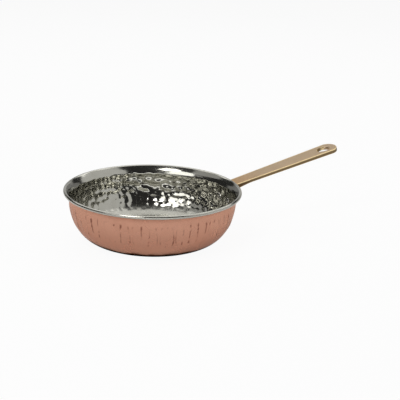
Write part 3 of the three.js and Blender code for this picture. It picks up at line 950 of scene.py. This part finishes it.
def one_rivet():
    """A rivet along its own Z axis, measured from the shell's outer face, with +Z pointing out of the pan."""
    inside = -plies - RIVET_HEAD_CLEARANCE
    outside = SEAT_CLEARANCE + PALM_THICKNESS + RIVET_HEAD_CLEARANCE
    turns = [math.pi / 2 * i / DOME_STEPS for i in range(DOME_STEPS + 1)]
    dome = [(math.cos(turn) * RIVET_HEAD_DIAMETER / 2, math.sin(turn)) for turn in turns]
    outline = [(radius, inside - rise * RIVET_INNER_HEAD_HEIGHT) for radius, rise in reversed(dome)]
    outline += [(RIVET_DIAMETER / 2, inside), (RIVET_DIAMETER / 2, outside)]
    outline += [(radius, outside + rise * RIVET_HEAD_HEIGHT) for radius, rise in dome]
    edges = [(i, i + 1) for i in range(len(outline) - 1)]
    line = new_object("one_rivet", [(r, 0, z) for r, z in outline], edges)
    work = bmesh.new()
    work.from_mesh(line.data)
    bmesh.ops.spin(work, geom=work.verts[:] + work.edges[:], axis=(0, 0, 1), cent=(0, 0, 0),
                   angle=2 * math.pi, steps=RIVET_STEPS, use_merge=True)
    bmesh.ops.remove_doubles(work, verts=work.verts, dist=WELD)
    bmesh.ops.recalc_face_normals(work, faces=work.faces)
    work.to_mesh(line.data)
    work.free()
    line.data.shade_smooth()
    return line


# %% Geometry Nodes tree for the rivets
def rivets_tree():
    tree = bpy.data.node_groups.new("rivets", "GeometryNodeTree")
    for name, kind in [("Places", "Geometry"), ("Rivet", "Object"), ("Finish", "Material")]:
        tree.interface.new_socket(name, in_out="INPUT", socket_type="NodeSocket" + kind)
    tree.interface.new_socket("Rivets", in_out="OUTPUT", socket_type="NodeSocketGeometry")
    given = add(tree, "NodeGroupInput").outputs
    rivet = add(tree, "GeometryNodeObjectInfo", {"Object": given["Rivet"]})
    square_to = add(tree, "GeometryNodeInputNamedAttribute", {"Name": "square_to"}, data_type="FLOAT_VECTOR")
    stand = add(tree, "FunctionNodeAlignRotationToVector", {"Vector": square_to}, axis="Z")
    copies = add(tree, "GeometryNodeInstanceOnPoints", {
        "Points": given["Places"], "Instance": rivet.outputs["Geometry"], "Rotation": stand})
    whole = add(tree, "GeometryNodeRealizeInstances", {"Geometry": copies})
    whole = add(tree, "GeometryNodeSetMaterial", {"Geometry": whole, "Material": given["Finish"]})
    add(tree, "NodeGroupOutput", {"Rivets": whole})
    return tree


def rivets():
    seat, outward = wall_at_height(RIVET_HEIGHT)
    turn = RIVET_SPACING / 2 / seat.x
    places = [Matrix.Rotation(side * turn, 3, "Z") @ Vector((seat.x, 0, seat.y)) for side in (-1, 1)]
    ways = [Matrix.Rotation(side * turn, 3, "Z") @ Vector((outward.x, 0, outward.y)) for side in (-1, 1)]
    piece = new_object("handle_rivets", places)
    piece.data.attributes.new("square_to", "FLOAT_VECTOR", "POINT").data.foreach_set(
        "vector", [x for way in ways for x in way])
    pattern = one_rivet()
    run_tree(piece, rivets_tree(), rivet=pattern, finish=rivet_steel)
    settle(piece)
    bpy.data.objects.remove(pattern)
    return piece


rivets_piece = rivets()

# %% [markdown]
# ## Stand the pieces in the frame
# Each piece takes the place of its CAD node and rides on the pan's one body.

# %% Frame calls
for piece, nodes, slot in [
        (lining_piece, ["steel_lining"], "steel"), (shell_piece, ["copper_shell"], "copper"),
        (handle_piece, ["brass_handle"], "brass"),
        (rivets_piece, ["front_rivet", "rear_rivet"], "rivet_steel")]:
    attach(piece, "root")
    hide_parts(*nodes)

# %% [markdown]
# ## Camera
# The camera was fitted to the outline of the pan in the photograph: a long lens, a little above the rim and
# to the left of the handle, rolled by under two degrees.

# %% Camera
VIEW_TURN = math.radians(-27)
VIEW_DROP = math.radians(17.604)
VIEW_ROLL = math.radians(1.719)
VIEW_DISTANCE = 1210.547 * MM
VIEW_ACROSS = 47.922 * MM
VIEW_UP = -10.012 * MM
LENS = 108.0
SENSOR_WIDTH = 36.0

right = Vector((math.cos(VIEW_TURN), math.sin(VIEW_TURN), 0))
ahead = Vector((-math.sin(VIEW_TURN), math.cos(VIEW_TURN), 0))
up = ahead * math.sin(VIEW_DROP) + Vector((0, 0, math.cos(VIEW_DROP)))
forward = ahead * math.cos(VIEW_DROP) - Vector((0, 0, math.sin(VIEW_DROP)))
camera = bpy.data.objects.new("camera", bpy.data.cameras.new("camera"))
camera.data.lens = LENS
camera.data.sensor_width = SENSOR_WIDTH
spot = Vector((0, 0, PAN_HEIGHT)) + right * VIEW_ACROSS + up * VIEW_UP - forward * VIEW_DISTANCE
across = right * math.cos(VIEW_ROLL) + up * math.sin(VIEW_ROLL)
upright = up * math.cos(VIEW_ROLL) - right * math.sin(VIEW_ROLL)
camera.matrix_world = Matrix.Translation(spot) @ Matrix((across, upright, -forward)).transposed().to_4x4()
bpy.context.scene.collection.objects.link(camera)
bpy.context.scene.camera = camera
print("camera at", [round(x, 3) for x in spot])

# %% [markdown]
# ## Floor and light
# Polished metal is mostly a picture of the room round it, so the room is laid out as for a product table. The
# pan stands on white paper that runs back to a pale wall. The metal sees the paper dimmer than the camera
# does, as if dark cloth hung beside it, so the steel keeps its darks.

# %% Floor and wall
FLOOR_HALF = 8.0
WALL_DISTANCE = 6.0
WALL_HEIGHT = 2.0
PAPER_WHITE = "#f2f2f2"


def paper(name, to_camera, to_metal):
    """White paper. The camera and mirrors see a share of plain white, and the rest keeps its shadows."""
    material = bpy.data.materials.new(name)
    material.use_nodes = True
    tree = material.node_tree
    tree.nodes.clear()
    path = add(tree, "ShaderNodeLightPath").outputs
    bounced = add(tree, MATH, {
        0: path["Is Glossy Ray"], 1: path["Is Transmission Ray"]}, operation="MAXIMUM")
    bounced = add(tree, MATH, {0: bounced, 1: to_metal}, operation="MULTIPLY")
    share = add(tree, MATH, {0: path["Is Camera Ray"], 1: to_camera, 2: bounced}, operation="MULTIPLY_ADD")
    matt = add(tree, "ShaderNodeBsdfDiffuse", {"Color": linear(PAPER_WHITE)})
    white = add(tree, "ShaderNodeEmission", {"Color": linear("#ffffff"), "Strength": 1.0})
    mixed = add(tree, "ShaderNodeMixShader", {0: share, 1: matt, 2: white})
    add(tree, "ShaderNodeOutputMaterial", {"Surface": mixed})
    return material


def sheet_of_paper(name, corners, finish):
    sheet = new_object(name, corners, faces=[(0, 1, 2, 3)])
    sheet.data.materials.append(finish)


corners = ((-1, -1), (1, -1), (1, 1), (-1, 1))
sheet_of_paper("floor", [(x * FLOOR_HALF, y * FLOOR_HALF, 0) for x, y in corners],
               paper("white_paper_floor", to_camera=0.94, to_metal=0.22))
wall_ends = [ahead * WALL_DISTANCE + right * side * FLOOR_HALF for side in (-1, 1)]
wall_tops = [end + Vector((0, 0, WALL_HEIGHT)) for end in reversed(wall_ends)]
sheet_of_paper("backdrop", wall_ends + wall_tops, paper("white_paper_wall", to_camera=1.0, to_metal=0.2))
print("paper: floor", 2 * FLOOR_HALF, "m across, wall", WALL_DISTANCE, "m behind the pan")

# %% [markdown]
# Eight soft boxes light the pan: one overhead, a small bright key over the camera's left shoulder that makes
# the hot spot in the bowl, a broad one below it, one on each side, two behind, and a low strip in front that
# lights the copper. They are oval, so their images have no corners. The rest of the room is dim.

# %% Lamps and room
ROOM = "#303030"


def soft_box(name, turn, lift, distance, width, height, brightness):
    """An oval soft box that faces the pan: turned from straight behind it towards the right, and lifted, in
    degrees, with sizes in metres. A brightness of 1 looks as bright as white paper."""
    turn, lift = math.radians(turn), math.radians(lift)
    level = ahead * math.cos(turn) + right * math.sin(turn)
    centre = (level * math.cos(lift) + Vector((0, 0, math.sin(lift)))) * distance
    lamp = bpy.data.lights.new(name, "AREA")
    lamp.shape, lamp.size, lamp.size_y = "ELLIPSE", width, height
    area = math.pi / 4 * width * height
    lamp.energy = brightness * math.pi * area
    box = bpy.data.objects.new(name, lamp)
    box.matrix_world = Matrix.Translation(centre) @ centre.to_track_quat("Z", "Y").to_matrix().to_4x4()
    box.visible_camera = False
    bpy.context.scene.collection.objects.link(box)


for name, turn, lift, distance, width, height, brightness in [
        ("overhead", 0, 76, 1.2, 1.8, 1.0, 0.904),
        ("key", -150, 55, 1.2, 0.5, 0.36, 6.621),
        ("front_left", -138, 36, 1.4, 1.0, 0.5, 1.91),
        ("left", -82, 44, 1.4, 1.3, 0.6, 0.382),
        ("right", 92, 31, 1.4, 2.1, 1.5, 0.637),
        ("rear_high", 0, 48, 1.4, 2.6, 0.7, 1.146),
        ("rear_low", 0, 22, 1.4, 1.6, 0.5, 0.382),
        ("front_strip", 180, 7, 2.2, 4.2, 0.55, 1.528)]:
    soft_box(name + "_soft_box", turn, lift, distance, width, height, brightness)
world = bpy.data.worlds.new("studio")
world.use_nodes = True
world.node_tree.nodes["Background"].inputs["Color"].default_value = linear(ROOM)
bpy.context.scene.world = world
bpy.context.scene.view_settings.view_transform = "Standard"
print("lamps:", sorted(lamp.name for lamp in bpy.data.lights))
